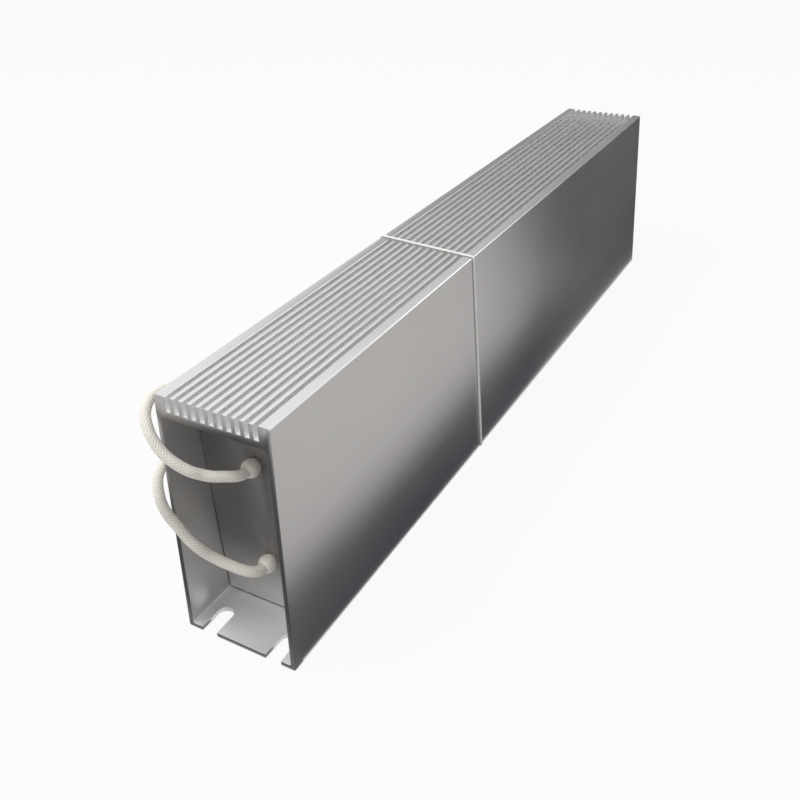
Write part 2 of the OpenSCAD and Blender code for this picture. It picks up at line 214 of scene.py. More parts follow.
def directions(line, joined=False):
    """Unit vectors along the line at each of its points."""
    if joined:
        along = np.roll(line, -1, axis=0) - np.roll(line, 1, axis=0)
    else:
        along = np.gradient(line, axis=0)
    return along / np.linalg.norm(along, axis=1)[:, None]


def untwisted_sides(line, joined=False):
    """Two sideways unit vectors at each point, carried along the line without any twist. On a closed
    line, the turn that is left over at the end is spread evenly along it."""
    along = directions(line, joined)
    side = np.cross(along[0], NO_LINE_RUNS_THIS_WAY)
    sides = []
    for direction in along:
        side = side - direction * side.dot(direction)
        side = side / np.linalg.norm(side)
        sides.append(side)
    sides = np.array(sides)
    others = np.cross(along, sides)
    if joined:
        left_over = math.atan2(sides[-1].dot(others[0]), sides[-1].dot(sides[0]))
        turn = (-left_over * np.arange(len(line)) / len(line))[:, None]
        sides = np.cos(turn) * sides + np.sin(turn) * others
        others = np.cross(along, sides)
    return sides, others


def tube(line, radius, around, joined=False):
    """Rings around a line: centre + radius * (cos(turn) * side + sin(turn) * other side). Radius is one
    number, or an array with one row for each ring and one column for each place around it."""
    first, second = untwisted_sides(line, joined)
    turn = 2 * math.pi * np.arange(around) / around
    radius = np.broadcast_to(radius, (len(line), around))[..., None]
    ring = np.cos(turn)[None, :, None] * first[:, None] + np.sin(turn)[None, :, None] * second[:, None]
    return line[:, None] + radius * ring


half_turn = smooth_line([(-1, 0, 0), (0, 1, 0), (1, 0, 0)], 10 * MM)
print("a smooth line over an arch 2 m wide and 1 m high is", round(line_length(half_turn), 2), "m long")

# %% [markdown]
# ## Sums on shader sockets
# A finish is a network of shader nodes, and much of it is plain arithmetic. This small class wraps one
# output socket, so that a sum written in Python adds the Math nodes that work it out.

# %% Write shader networks as sums
class Signal:
    """One number from a shader network. Each operator adds the Math node that works it out."""

    def __init__(self, finish, socket):
        self.finish, self.socket = finish, socket

    def math(self, operation, *others):
        """What a Math node makes of this number and the others."""
        return self.finish.math(operation, self, *others)

    def __add__(self, other):
        return self.math("ADD", other)

    def __sub__(self, other):
        return self.math("SUBTRACT", other)

    def __rsub__(self, other):
        return self.finish.math("SUBTRACT", other, self)

    def __mul__(self, other):
        return self.math("MULTIPLY", other)

    __radd__ = __add__
    __rmul__ = __mul__

    def between(self, low, high):
        """Goes smoothly from 0 at low to 1 at high."""
        return self.finish.add("ShaderNodeMapRange", {"interpolation_type": "SMOOTHSTEP"},
                               {"Value": self, "From Min": low, "From Max": high})

    def around(self, place, slack):
        """Goes smoothly from 0 to 1 around a place, from slack before it to slack after it."""
        return self.between(place - slack, place + slack)


print("the sums are worked out by", Signal.__name__, "objects")

# %% [markdown]
# ## One maker for every node
# A material and the world are both trees of nodes, so one class writes them both. Each node comes from
# its method add, which sets the node up first and then fills its sockets. The other methods are short
# names for the nodes that come up again and again.

# %% Add the nodes of a finish
class Finish:
    """A material, or the world, whose nodes are added from Python."""

    def __init__(self, name, owner=None):
        self.owner = owner or bpy.data.materials.new(name)
        self.owner.use_nodes = True
        self.tree = self.owner.node_tree
        self.tree.nodes.clear()

    def add(self, kind, settings=None, inputs=None, output=0):
        """Adds a node: first its settings, then the values or links of its sockets."""
        made = self.tree.nodes.new(kind)
        for name, value in (settings or {}).items():
            setattr(made, name, value)
        for name, value in (inputs or {}).items():
            if isinstance(value, Signal):
                self.tree.links.new(value.socket, made.inputs[name])
            else:
                made.inputs[name].default_value = value
        return Signal(self, made.outputs[output])

    def math(self, operation, *values):
        """What a Math node makes of the values, which fill its sockets in their order."""
        return self.add("ShaderNodeMath", {"operation": operation}, dict(enumerate(values)))

    def parts(self, vector):
        """The three numbers of a vector or a colour."""
        first = self.add("ShaderNodeSeparateXYZ", {}, {0: vector})
        return [Signal(self, socket) for socket in first.socket.node.outputs]

    def place(self, scale):
        """Object coordinates in metres, multiplied by a scale for each axis."""
        where = self.add("ShaderNodeTexCoord", output="Object")
        return self.add("ShaderNodeMapping", {}, {"Vector": where, "Scale": scale})

    def axes(self):
        """The three object coordinates in metres."""
        return self.parts(self.add("ShaderNodeTexCoord", output="Object"))

    def noise(self, scale, detail=3.0, rough=0.5):
        """Cloudy noise from 0 to 1. The scale is how many blots there are in a metre on each axis."""
        return self.add("ShaderNodeTexNoise", {},
                        {"Vector": self.place(scale), "Scale": 1.0, "Detail": detail, "Roughness": rough})

    def mix(self, factor, one, other):
        """Colour one where the factor is 0, and the other where it is 1."""
        return self.add("ShaderNodeMix", {"data_type": "RGBA"}, {0: factor, 6: one, 7: other}, output=2)

    def bump(self, height, depth, strength=1.0):
        """Tilts the surface by a height from 0 to 1, which stands for depth in metres."""
        return self.add("ShaderNodeBump", {}, {"Height": height, "Distance": depth, "Strength": strength})

    def surface(self, **sockets):
        """The shader itself. Sockets are named as in Blender, with _ for each space."""
        inputs = {name.replace("_", " "): value for name, value in sockets.items()}
        return self.show(self.add("ShaderNodeBsdfPrincipled", {}, inputs))

    def show(self, shader, kind="ShaderNodeOutputMaterial"):
        """Leads a shader to the output, and gives back the material or the world."""
        out = self.tree.nodes.new(kind)
        self.tree.links.new(shader.socket, out.inputs["Surface"])
        return self.owner


def grey(level):
    """Red, green and blue at one level, and nothing clear."""
    return (level, level, level, 1)


print("materials and the world are written by", Finish.__name__, "objects")

# %% [markdown]
# ## The two leads
# Each lead is a stranded wire in a sleeve of braided glass fibre. The braid is what the eye sees: two
# families of yarns wind around the wire in opposite directions, and each yarn passes over one and under
# the next. Its height can be worked out from two numbers, the place around the sleeve and the place
# along it. The same formula shapes the mesh here and, further down, the fine relief of its finish.

# %% The braid's formula
LEAD_DIAMETER = 4.0 * MM
YARNS = 9
BRAID_LAY = 13.5 * MM
YARN_RELIEF = 0.2 * MM
LIFT = 0.38


# The next three work on arrays of numbers and on signals alike, so the formula below is written once.
def cosine(value):
    return value.math("COSINE") if isinstance(value, Signal) else np.cos(value)


def whole(value):
    return value.math("FLOOR") if isinstance(value, Signal) else np.floor(value)


def larger(one, other):
    return one.math("MAXIMUM", other) if isinstance(one, Signal) else np.maximum(one, other)


def braid(around, along):
    """Height of the braid from 0 to 1. Both places are in turns. A yarn's crown is half a cosine wave
    across it, and a slow wave along it lifts it over one crossing and sinks it under the next."""
    rising, falling = YARNS * (around + along), YARNS * (around - along)
    rising_yarn, falling_yarn = whole(rising), whole(falling)
    rising_crown = cosine((rising - rising_yarn - 0.5) * math.pi)
    falling_crown = cosine((falling - falling_yarn - 0.5) * math.pi)
    rising_lift = 1 - LIFT + LIFT * cosine((rising_yarn + falling - 0.5) * math.pi)
    falling_lift = 1 - LIFT - LIFT * cosine((falling_yarn + rising - 0.5) * math.pi)
    return larger(rising_crown * rising_lift, falling_crown * falling_lift)


girth = math.pi * LEAD_DIAMETER
yarn_width = girth / YARNS * math.cos(math.atan2(girth, BRAID_LAY))
print("a yarn of the sleeve is", round(yarn_width / MM, 2), "mm wide")

# %% [markdown]
# The places that each lead passes are the same as in the solid model, in millimetres: across, back from
# the front end, and up. They begin inside the bushing, where the lead runs straight. Where a lead reaches
# the surface that the housing stands on, the curve is kept from dipping below it.

# %% Make the leads
FRONT = housing_low.y
UPPER_PLACES = [
    [2, 12.98, 72], [2, 10.98, 72],
    [1.6, 9.3, 72.3], [0.3, 7.1, 72.9], [-2, 5, 73.5], [-5, 2.6, 74.1], [-7.9, 0.5, 75.3],
    [-10, -1.8, 77.2], [-13.2, -3.7, 79.7], [-16, -4.8, 82], [-18.8, -5.3, 84.4], [-21.3, -5.3, 86.8],
    [-23.8, -4.9, 89.6], [-26.2, -3.8, 92.5], [-28.4, -2, 95], [-30, 0.8, 97.2], [-30.8, 4.5, 98.6],
    [-30.5, 9, 98.8], [-29.4, 14, 98.2], [-28, 21, 96.4], [-27.1, 31, 93], [-27.1, 60, 82],
    [-27.1, 90, 71.5], [-27.1, 120, 61.5], [-27.1, 142, 54.5], [-27.2, 156, 50.8],
    [-28.4, 166, 46.6], [-31, 175, 40.5], [-34, 184, 32.5], [-36.8, 192, 23.5],
    [-39, 200, 14.5], [-40.4, 207, 8], [-41, 214, 4], [-41, 221, 2.1], [-41, 227, 2.1],
]
LOWER_PLACES = [
    [2, 15.92, 26.5], [2, 13.92, 26.5],
    [1.6, 12.3, 26.9], [0.4, 10.3, 27.8], [-2.2, 8.6, 29], [-6, 7, 30.7], [-9.6, 5.3, 32.9],
    [-12.8, 3.4, 35.8], [-15.6, 0.8, 40.4], [-18.6, -0.8, 45], [-21, -2, 49.9], [-22.8, -3, 53.5],
    [-24.4, -3.6, 57], [-25.8, -3.6, 60.6], [-27.2, -2.7, 64.2], [-28.6, -1, 67.2],
    [-29.5, 1.8, 69.5], [-29.7, 5.5, 70.9], [-29.1, 10.5, 71.3], [-28, 17, 70.6], [-27.1, 27, 68.4],
    [-27.1, 60, 60.6], [-27.1, 90, 54.4], [-27.1, 120, 49.6], [-27.1, 142, 46.9], [-27.1, 156, 44.6],
    [-27.5, 165, 40], [-28.4, 173, 33], [-29.4, 180, 25], [-30.3, 187, 16.5], [-30.8, 194, 9],
    [-31, 201, 4.2], [-31, 208, 2.1], [-31, 214, 2.1],
]
RING_STEP = 0.22 * MM
POINTS_AROUND = 60
MIDDLE_OF_BRAID = 0.75


def lead(name, places, node):
    """A braided sleeve along the places."""
    line = smooth_line(np.array(places) * MM + (0, FRONT, 0), RING_STEP)
    line[:, 2] = np.maximum(line[:, 2], places[-1][2] * MM)
    distance = np.linspace(0, line_length(line), len(line))
    around, along = np.meshgrid(np.arange(POINTS_AROUND) / POINTS_AROUND, distance / BRAID_LAY)
    radius = LEAD_DIAMETER / 2 + YARN_RELIEF * (braid(around, along) - MIDDLE_OF_BRAID)
    grid = tube(line, radius, POINTS_AROUND)
    piece = mesh_piece(name, grid, uv=np.stack([around, along], axis=-1))
    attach(piece, "root")
    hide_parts(node)
    print(name, "is", round(line_length(line), 3), "m long")
    return piece


upper_sleeve = lead("upper_sleeve", UPPER_PLACES, "upper_lead")
lower_sleeve = lead("lower_sleeve", LOWER_PLACES, "lower_lead")

# %% [markdown]
# ## The string and its ways
# A length of thin string goes twice around the housing and the leads and is knotted on the left side. Its
# outline is that of two plies laid around one another, so the light catches the plies one after the
# other. A round is a loop with rounded corners, and the knot is the simplest closed line that is knotted.

# %% Lay out the string
STRAND = 0.8 * MM
PLY_LAY = 2.4 * MM
PLY_DIP = 0.22
STRING_STEP = 0.3 * MM
STRING_POINTS = 12
ARC_POINTS = 9
TIE_CORNER = 1.1 * MM
TIE_BACK = FRONT + 155.5 * MM
WIDE = -housing_low.x + STRAND / 2
HIGH = housing_high.z + STRAND / 2
LEADS_OUT = 29.3 * MM + STRAND / 2
TIE_CORNERS = [
    (WIDE, TIE_BACK - 6 * MM, HIGH), (-WIDE, TIE_BACK - 1.5 * MM, HIGH),
    (-LEADS_OUT, TIE_BACK - 0.5 * MM, 53.5 * MM), (-LEADS_OUT, TIE_BACK, 43.5 * MM),
    (-WIDE, TIE_BACK, STRAND / 2), (WIDE, TIE_BACK, STRAND / 2),
]
KNOT_PLACE = (-28.3 * MM, TIE_BACK, 24 * MM)
KNOT_SIZE = 0.62 * MM
KNOT_THICK = 0.8
KNOT_POINTS = 90
TAIL_PLACES = [(0, 0, 0), (-0.4, 1.5, 0.5), (0.1, 3.2, -1.2), (1.5, 4, -4.8), (2.7, 4.6, -9)]


def rounded_loop(corners, radius):
    """A closed line through corners cut off by arcs. An arc goes from one edge to the next as
    (1 - t)^2 * start + 2 t (1 - t) * corner + t^2 * end, with t from 0 to 1."""
    corners = np.array(corners)
    before = np.roll(corners, 1, axis=0) - corners
    after = np.roll(corners, -1, axis=0) - corners
    start = corners + before / np.linalg.norm(before, axis=1)[:, None] * radius
    end = corners + after / np.linalg.norm(after, axis=1)[:, None] * radius
    t = np.linspace(0, 1, ARC_POINTS)[None, :, None]
    arcs = (1 - t) ** 2 * start[:, None] + 2 * t * (1 - t) * corners[:, None] + t ** 2 * end[:, None]
    line = arcs.reshape(-1, 3)
    return evenly(np.vstack([line, line[:1]]), STRING_STEP)[:-1]


def string_rings(line, joined=True):
    """Rings of a two-ply string: radius = half a strand * (1 - dip + dip * |cos(turn - turned)|), where
    turned grows by half a turn for each lay along the line."""
    lays = round(line_length(line) / PLY_LAY)
    turned = math.pi * lays * np.arange(len(line)) / len(line)
    turn = 2 * math.pi * np.arange(STRING_POINTS) / STRING_POINTS
    lay = np.abs(np.cos(turn[None, :] - turned[:, None]))
    return tube(line, STRAND / 2 * (1 - PLY_DIP + PLY_DIP * lay), STRING_POINTS, joined)


def knot_line(centre, size):
    """A trefoil knot that lies against the side: its depth is -thick sin 3t, and across and up it is
    sin t + 2 sin 2t and cos t - 2 cos 2t, all times the size."""
    t = np.linspace(0, 2 * math.pi, KNOT_POINTS, endpoint=False)
    depth = -KNOT_THICK * np.sin(3 * t)
    across, up = np.sin(t) + 2 * np.sin(2 * t), np.cos(t) - 2 * np.cos(2 * t)
    return np.array(centre) + np.stack([depth, across, up], axis=-1) * size


print("the string goes round at", round((HIGH - STRAND) / MM, 1), "mm up and", round(WIDE / MM, 1), "mm out")

# %% [markdown]
# ## The tie
# The two rounds, the knot and its two tails are made apart, each as a tube, and then joined into one
# piece. The tails are placed from listed points, because that is how they fall: out of the knot and down
# the wall.

# %% Make the tie
def join_all(pieces, name):
    """Joins new meshes into one piece."""
    with bpy.context.temp_override(active_object=pieces[0], selected_editable_objects=pieces):
        bpy.ops.object.join()
    pieces[0].name = name
    pieces[0].data.name = name
    return pieces[0]


strands = []
for number, aside in enumerate((-0.5, 0.5)):
    round_line = rounded_loop(TIE_CORNERS, TIE_CORNER) + (0, aside * STRAND, 0)
    strands.append(mesh_piece(f"round_{number}", string_rings(round_line), joined=True))
strands.append(mesh_piece("knot", string_rings(knot_line(KNOT_PLACE, KNOT_SIZE)), joined=True))
for number, side in enumerate((-1, 1)):
    tail = np.array(TAIL_PLACES) * (1, side, 1) * MM + KNOT_PLACE
    tail_rings = string_rings(smooth_line(tail, STRING_STEP), joined=False)
    strands.append(mesh_piece(f"tail_{number}", tail_rings))
string_tie = join_all(strands, "string_tie")
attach(string_tie, "root")
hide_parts("tie")

# %% [markdown]
# ## The bushings
# Each lead leaves the front plate through a ceramic bead: a ball with a small lip around its mouth, and a
# narrower neck that goes through the plate. Such a bead is turned, so it is made as its own outline
# carried once around the axis of the hole.

# %% Make the bushings
ROUND = 64
LEAD_X = UPPER_PLACES[0][0] * MM
BALL = 3.6
BALL_FROM, BALL_TO, BALL_POINTS = 40, 134, 22


def bead_outline():
    """The bead's outline as (back from the nose, radius) in millimetres. It goes from the bottom of the
    socket over the lip and round the ball, where the angle from the nose gives
    (BALL (1 - cos angle), BALL sin angle), then along the neck and back along the wire's bore."""
    angle = np.radians(np.linspace(BALL_FROM, BALL_TO, BALL_POINTS))
    ball = BALL * np.stack([1 - np.cos(angle), np.sin(angle)], axis=1)
    mouth = [(2, 1.1), (2, 2.08), (1.2, 2.08), (0.78, 2.1), (0.74, 2.2)]
    neck = [(6.25, 2.5), (13.2, 2.5), (13.5, 2.3), (13.5, 1.1)]
    return np.vstack([mouth, ball, neck])


def bead(name, node, places):
    """A turned bead around a lead's straight beginning: point = (radius cos turn, back from the mouth,
    radius sin turn)."""
    height, mouth = places[1][2] * MM, places[1][1] * MM
    back, radius = (bead_outline() * MM).T
    turn = 2 * math.pi * np.arange(ROUND) / ROUND
    across, up = radius[:, None] * np.cos(turn), radius[:, None] * np.sin(turn)
    depth = np.repeat((FRONT + mouth + back)[:, None], ROUND, axis=1)
    grid = np.stack([LEAD_X + across, depth, height + up], axis=-1)
    piece = mesh_piece(name, grid[:, ::-1], joined=True)
    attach(piece, "root")
    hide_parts(node)
    return piece


upper_bead = bead("upper_bead", "upper_bushing", UPPER_PLACES)
lower_bead = bead("lower_bead", "lower_bushing", LOWER_PLACES)

# %% [markdown]
# ## Places on the housing
# One extrusion shows several surfaces: satin sides, slots between the fins, a rougher inside that nobody
# polishes, and sawn ends. Some masks also carry painted light and shade: the slots, the near top, the far
# fin tops and the base of the recess are painted lighter, the top edge has a painted highlight, and the
# inside is painted darker towards the web as shade. They could be separate materials on separate faces.
# Masks are simpler here, because every surface lies at a known height or width, and the masks can be read
# as a drawing is.

# %% Measure out the masks
TOP, SIDE = housing_high.z, housing_high.x
GROOVE_FLOOR = TOP - 6 * MM
WEB_UNDERSIDE = TOP - 9 * MM
BASE_TOP = 2 * MM
RIM_INSIDE = SIDE - 5 * MM
WALL_INSIDE = SIDE - 2 * MM
WORN_LINES = [(32.5 * MM, 0.4 * MM, 1.0), (54.5 * MM, 0.3 * MM, 0.6)]


def die_line(height, z, width):
    """1 on a line at one height, 0 away from it."""
    distance = (z - height).math("ABSOLUTE")
    return 1 - distance.between(width * 0.3, width)


def housing_masks(finish):
    """Signals that are 1 on one kind of place and 0 elsewhere. Cut ends are told by the way they face,
    and all other places by how far out and how high they are."""
    x, y, z = finish.axes()
    across = x.math("ABSOLUTE")
    facing = finish.parts(finish.add("ShaderNodeNewGeometry", output="Normal"))
    cut = facing[1].math("ABSOLUTE").between(0.6, 0.9)
    pressed = 1 - cut
    at_top = z.around(TOP - 0.5 * MM, 0.2 * MM) * pressed
    near_top = z.between(TOP - 0.6 * MM, TOP - 0.3 * MM)
    between_rims = 1 - across.around(RIM_INSIDE + 0.75 * MM, 0.25 * MM)
    within_walls = 1 - across.around(WALL_INSIDE, 0.4 * MM)
    under_web = z.around(BASE_TOP - 0.5 * MM, 0.3 * MM) * (1 - z.around(WEB_UNDERSIDE, 0.4 * MM))
    in_fins = z.between(GROOVE_FLOOR - 1.5 * MM, GROOVE_FLOOR) * pressed * between_rims
    inside = within_walls * under_web * pressed
    worn = sum(share * die_line(height, z, width) for height, width, share in WORN_LINES)
    blots = finish.noise((40.0, 26.0, 48.0), 3.0, 0.6).between(0.56, 0.7)
    streaks = finish.noise((700.0, 190.0, 700.0), 3.0, 0.6).between(0.5, 0.7)
    return {
        "cut": cut, "groove": in_fins * (1 - at_top), "inside": inside,
        "base": inside * (1 - z.between(BASE_TOP + 0.3 * MM, BASE_TOP + 1.2 * MM)),
        # painted highlight: the rounded top edge is given a lighter colour below
        "edge": across.between(SIDE - 0.6 * MM, SIDE - 0.3 * MM) * near_top,
        "painted light near top": at_top * (1 - y.between(FRONT, FRONT + 90 * MM)),
        "painted light on far fin tops": at_top * between_rims * y.between(FRONT + 160 * MM, FRONT + 300 * MM),
        "worn": worn * x.between(SIDE - 0.8 * MM, SIDE - 0.4 * MM),
        "smudge": blots * streaks * pressed * y.between(FRONT + 220 * MM, FRONT + 290 * MM),
    }


print("the housing's slots are", round((TOP - GROOVE_FLOOR) / MM, 1), "mm deep")

# %% [markdown]
# ## Extruded aluminium
# The housing was pressed through a die, which leaves fine lines along its whole length, a few deeper ones
# where the die was worn, and a soft satin between them. Noise that is stretched along the length makes
# the lines. They change the roughness, and as a bump they spread the reflections up and down.

# %% Finish the housing
SATIN = 0.33
SAWN = 0.27
BUMP_DEPTH = 0.012 * MM


def lines_along(finish, across, length, detail=4.0):
    """Fine lines along the housing: noise with many blots across and few along."""
    return finish.noise((across, length, across), detail, 0.6)


def extruded_aluminium():
    """Satin metal. Its colour is laid on in layers, each with its own mask, and some layers are painted
    light or shade.
    """
    finish = Finish("extruded aluminium")
    on = housing_masks(finish)
    y, z = finish.axes()[1:]
    fine = lines_along(finish, 2600.0, 3.0)
    broad = lines_along(finish, 260.0, 1.2, 2.0)
    cloud = finish.noise((14.0, 9.0, 14.0), 3.0, 0.55)
    saw = finish.noise((180.0, 180.0, 2400.0), 3.0, 0.6)
    # painted light: the slots are painted much lighter than the sides, most at the near end, for light
    # passed on inside them
    slot = finish.mix(y.between(FRONT, FRONT + 300 * MM), (0.965, 0.96, 0.955, 1), (0.86, 0.852, 0.85, 1))
    mottle = cloud.between(0.25, 0.8) * 0.5 + fine * 0.3
    colour = finish.mix(mottle, (0.600, 0.592, 0.588, 1), (0.670, 0.662, 0.655, 1))
    layers = [
        (on["worn"] * 0.35, grey(0.8)),
        (on["smudge"] * 0.5, grey(0.85)),
        # painted light in the slots, with the colour above
        (on["groove"], slot),
        # painted light: the tops near the front end are painted lighter
        (on["painted light near top"], (0.79, 0.785, 0.78, 1)),
        # painted light: the fin tops towards the far end are painted lighter
        (on["painted light on far fin tops"], (0.76, 0.752, 0.75, 1)),
        # painted shade: the inside is painted darker towards the web that overhangs it
        (on["inside"] * z.between(-30 * MM, 90 * MM), (0.43, 0.42, 0.415, 1)),
        # painted light: the base of the recess is painted lighter than the rest of the inside
        (on["base"], (0.80, 0.795, 0.79, 1)),
        # painted highlight along the rounded top edge
        (on["edge"], grey(0.78)),
        (on["cut"] * (0.5 + 0.4 * saw), (0.44, 0.43, 0.425, 1)),
    ]
    for mask, layer in layers:
        colour = finish.mix(mask, colour, layer)
    pressed = 1 - on["cut"]
    shine = SATIN + 0.1 * (fine - 0.5) + 0.12 * (cloud - 0.5) + 0.05 * (broad - 0.5)
    shine = shine + 0.06 * on["groove"] + 0.16 * on["inside"] + 0.08 * on["smudge"] - 0.06 * on["worn"]
    height = (fine * 0.5 + broad * 0.35) * pressed + saw * on["cut"] * 1.4 + 0.4 * on["worn"]
    return finish.surface(Base_Color=colour, Metallic=1 - 0.15 * on["inside"] - 0.4 * on["base"],
                          Roughness=shine * pressed + on["cut"] * (SAWN + 0.12 * saw),
                          Normal=finish.bump(height, BUMP_DEPTH, 0.8))


finishes = {"housing_aluminium": extruded_aluminium()}
print("the housing's finish has", len(finishes["housing_aluminium"].node_tree.nodes), "nodes")

# %% [markdown]
# ## Sheet aluminium
# The end plates are stamped from sheet, which is duller and darker than the extrusion and a little
# cloudy. Low down the plate is painted lighter, a painted reflection of the bright base, which fades
# upwards. A thin dark line of painted shade runs along the seams with the walls and the base. It is
# painted on the plate's own rim, and it fades towards the top, where less shade shows.

# %% Finish the end plates
PAINTED_SEAM_SHADE = (0.06, 0.055, 0.055, 1)
DULL = 0.60


def sheet_aluminium():
    """Dull metal. Its colour is cloudy, with a painted reflection of the bright base that fades upwards, and
    painted shade in the seam at its rim.
    """
    finish = Finish("sheet aluminium")
    cloud = finish.noise((30.0, 30.0, 22.0), 4.0, 0.6)
    grain = finish.noise((1400.0, 1400.0, 60.0), 3.0, 0.6)
    x, _, z = finish.axes()
    side_rim = x.math("ABSOLUTE").between(WALL_INSIDE - 0.6 * MM, WALL_INSIDE - 0.3 * MM)
    low_rim = 1 - z.between(BASE_TOP + 0.3 * MM, BASE_TOP + 0.7 * MM)
    colour = finish.mix(cloud.between(0.3, 0.75), (0.36, 0.35, 0.345, 1), (0.43, 0.42, 0.415, 1))
    # painted reflection: low down the plate is painted lighter, as the bright base would show in it, fading
    # upwards
    colour = finish.mix(1 - z.between(3 * MM, 34 * MM), colour, (0.74, 0.73, 0.72, 1))
    # painted shade: a dark line in the seams with the walls and the base, fainter towards the top
    colour = finish.mix(side_rim * (1 - 0.6 * z.between(30 * MM, 80 * MM)), colour, PAINTED_SEAM_SHADE)
    colour = finish.mix(low_rim, colour, PAINTED_SEAM_SHADE)
    shine = DULL + 0.12 * (cloud - 0.5) + 0.1 * (grain - 0.5) + 0.2 * side_rim.math("MAXIMUM", low_rim)
    return finish.surface(Base_Color=colour, Metallic=1.0, Roughness=shine,
                          Normal=finish.bump(grain * 0.6 + cloud * 0.4, 0.02 * MM, 0.5))


finishes["plate_aluminium"] = sheet_aluminium()
print("metal finishes:", ", ".join(finishes))

# %% [markdown]
# ## Glass-fibre sleeve, string and ceramic
# The sleeve's finish reads the same braid formula from the sleeve's own map of places around and along,
# so that its shading falls exactly on the yarns of the mesh. Finer lines along each yarn stand for its
# filaments. The string and the ceramic are plain, with a little fuzz or grain.

# %% Finish the sleeves, the string and the beads
FILAMENT_TURN = 10 * math.pi


def glass_sleeve():
    """Cream yarns with painted shade in the valleys between them, so they are palest on their crowns.
    Height = braid + a small share of the filaments' waves.
    """
    finish = Finish("glass fibre sleeve")
    around, along = finish.parts(finish.add("ShaderNodeUVMap", {"uv_map": "sleeve"}))[:2]
    height = braid(around, along)
    rising, falling = YARNS * (around + along), YARNS * (around - along)
    filaments = cosine(rising * FILAMENT_TURN) * cosine(falling * FILAMENT_TURN)
    dust = finish.noise((120.0, 120.0, 120.0), 3.0, 0.55)
    # painted shade: the valleys between the yarns are painted darker than the crowns
    colour = finish.mix(height.between(0.1, 0.75), (0.70, 0.65, 0.55, 1), (0.90, 0.875, 0.82, 1))
    colour = finish.mix(dust.between(0.35, 0.8) * 0.3, colour, (0.80, 0.74, 0.62, 1))
    return finish.surface(Base_Color=colour, Roughness=0.62 + 0.15 * (1 - height), Sheen_Weight=0.25,
                          Sheen_Roughness=0.5, Specular_IOR_Level=0.4,
                          Normal=finish.bump(height + filaments * 0.06, 0.12 * MM, 0.5))


def tie_string():
    """Dull white fibres, whose fuzz changes the colour, the roughness and the height together."""
    finish = Finish("white string")
    fuzz = finish.noise((2600.0, 2600.0, 2600.0), 3.0, 0.6)
    colour = finish.mix(fuzz.between(0.3, 0.7), (0.76, 0.755, 0.73, 1), (0.85, 0.85, 0.84, 1))
    return finish.surface(Base_Color=colour, Roughness=0.7 + 0.1 * fuzz, Sheen_Weight=0.3,
                          Normal=finish.bump(fuzz, 0.06 * MM, 0.6))


def bead_ceramic():
    """Fired clay without a glaze: wide clouds in the colour, and a fine grain in the height."""
    finish = Finish("cream ceramic")
    cloud = finish.noise((220.0, 220.0, 220.0), 4.0, 0.55)
    grain = finish.noise((3000.0, 3000.0, 3000.0), 2.0, 0.5)
    colour = finish.mix(cloud.between(0.35, 0.7), (0.82, 0.78, 0.69, 1), (0.89, 0.86, 0.79, 1))
    return finish.surface(Base_Color=colour, Roughness=0.46 + 0.2 * (cloud - 0.5),
                          Normal=finish.bump(grain * 0.5 + cloud, 0.04 * MM, 0.5))


finishes["lead_sleeve"] = glass_sleeve()
finishes["tie_string"] = tie_string()
finishes["bushing_ceramic"] = bead_ceramic()
print("finishes so far:", len(finishes))

# %% [markdown]
# ## The inside and the small metal parts
# Behind the plates are cement, mineral powder, mica and the windings. They show only when the model is
# taken apart, and each still gets the look of its own stuff: grains, flakes, drawn wire or plating.

# %% Finish the inside
PLATING_DEPTH = 0.01 * MM
DRAWN, ROLLED, PRESSED = (900.0, 120.0, 900.0), (500.0,) * 3, (400.0,) * 3


def grainy(name, dark, light, grain_scale, rough, depth, fleck=0.0):
    """Loose or set mineral: grains in two sizes, with some dark flecks."""
    finish = Finish(name)
    grains = finish.noise((grain_scale,) * 3, 4.0, 0.65)
    lumps = finish.noise((grain_scale / 9,) * 3, 2.0, 0.5)
    colour = finish.mix(grains.between(0.25, 0.75) * 0.7 + lumps * 0.3, dark, light)
    if fleck:
        spots = finish.noise((grain_scale * 1.7, grain_scale * 1.3, grain_scale), 1.0, 0.5)
        colour = finish.mix(spots.between(0.66, 0.72) * fleck, colour, (0.2, 0.17, 0.13, 1))
    return finish.surface(Base_Color=colour, Roughness=rough - 0.1 * grains,
                          Normal=finish.bump(grains * 0.7 + lumps, depth))


def mica():
    """Flakes. Each cell of a Voronoi pattern has one shade, one roughness and one height."""
    finish = Finish("mica")
    flakes = finish.add("ShaderNodeTexVoronoi", {"feature": "F1"},
                        {"Vector": finish.place((140.0, 90.0, 150.0)), "Scale": 1.0}, output="Color")
    shade = finish.parts(flakes)[0]
    cloud = finish.noise((60.0, 60.0, 60.0), 4.0, 0.6)
    colour = finish.mix(shade * 0.6 + cloud * 0.4, (0.42, 0.34, 0.22, 1), (0.66, 0.58, 0.42, 1))
    return finish.surface(Base_Color=colour, Roughness=0.28 + 0.2 * shade,
                          Normal=finish.bump(shade, 0.03 * MM, 0.4))


def plated(name, dark, light, rough, scale=DRAWN):
    """Drawn or rolled metal under a thin plating: faint lines and a cloudy shine."""
    finish = Finish(name)
    drawn = finish.noise(scale, 3.0, 0.6)
    cloud = finish.noise((160.0, 160.0, 160.0), 3.0, 0.5)
    colour = finish.mix(cloud.between(0.3, 0.75), dark, light)
    shine = rough + 0.12 * (cloud - 0.5) + 0.08 * (drawn - 0.5)
    return finish.surface(Base_Color=colour, Metallic=1.0, Roughness=shine,
                          Normal=finish.bump(drawn * 0.7 + cloud * 0.3, PLATING_DEPTH, 0.5))


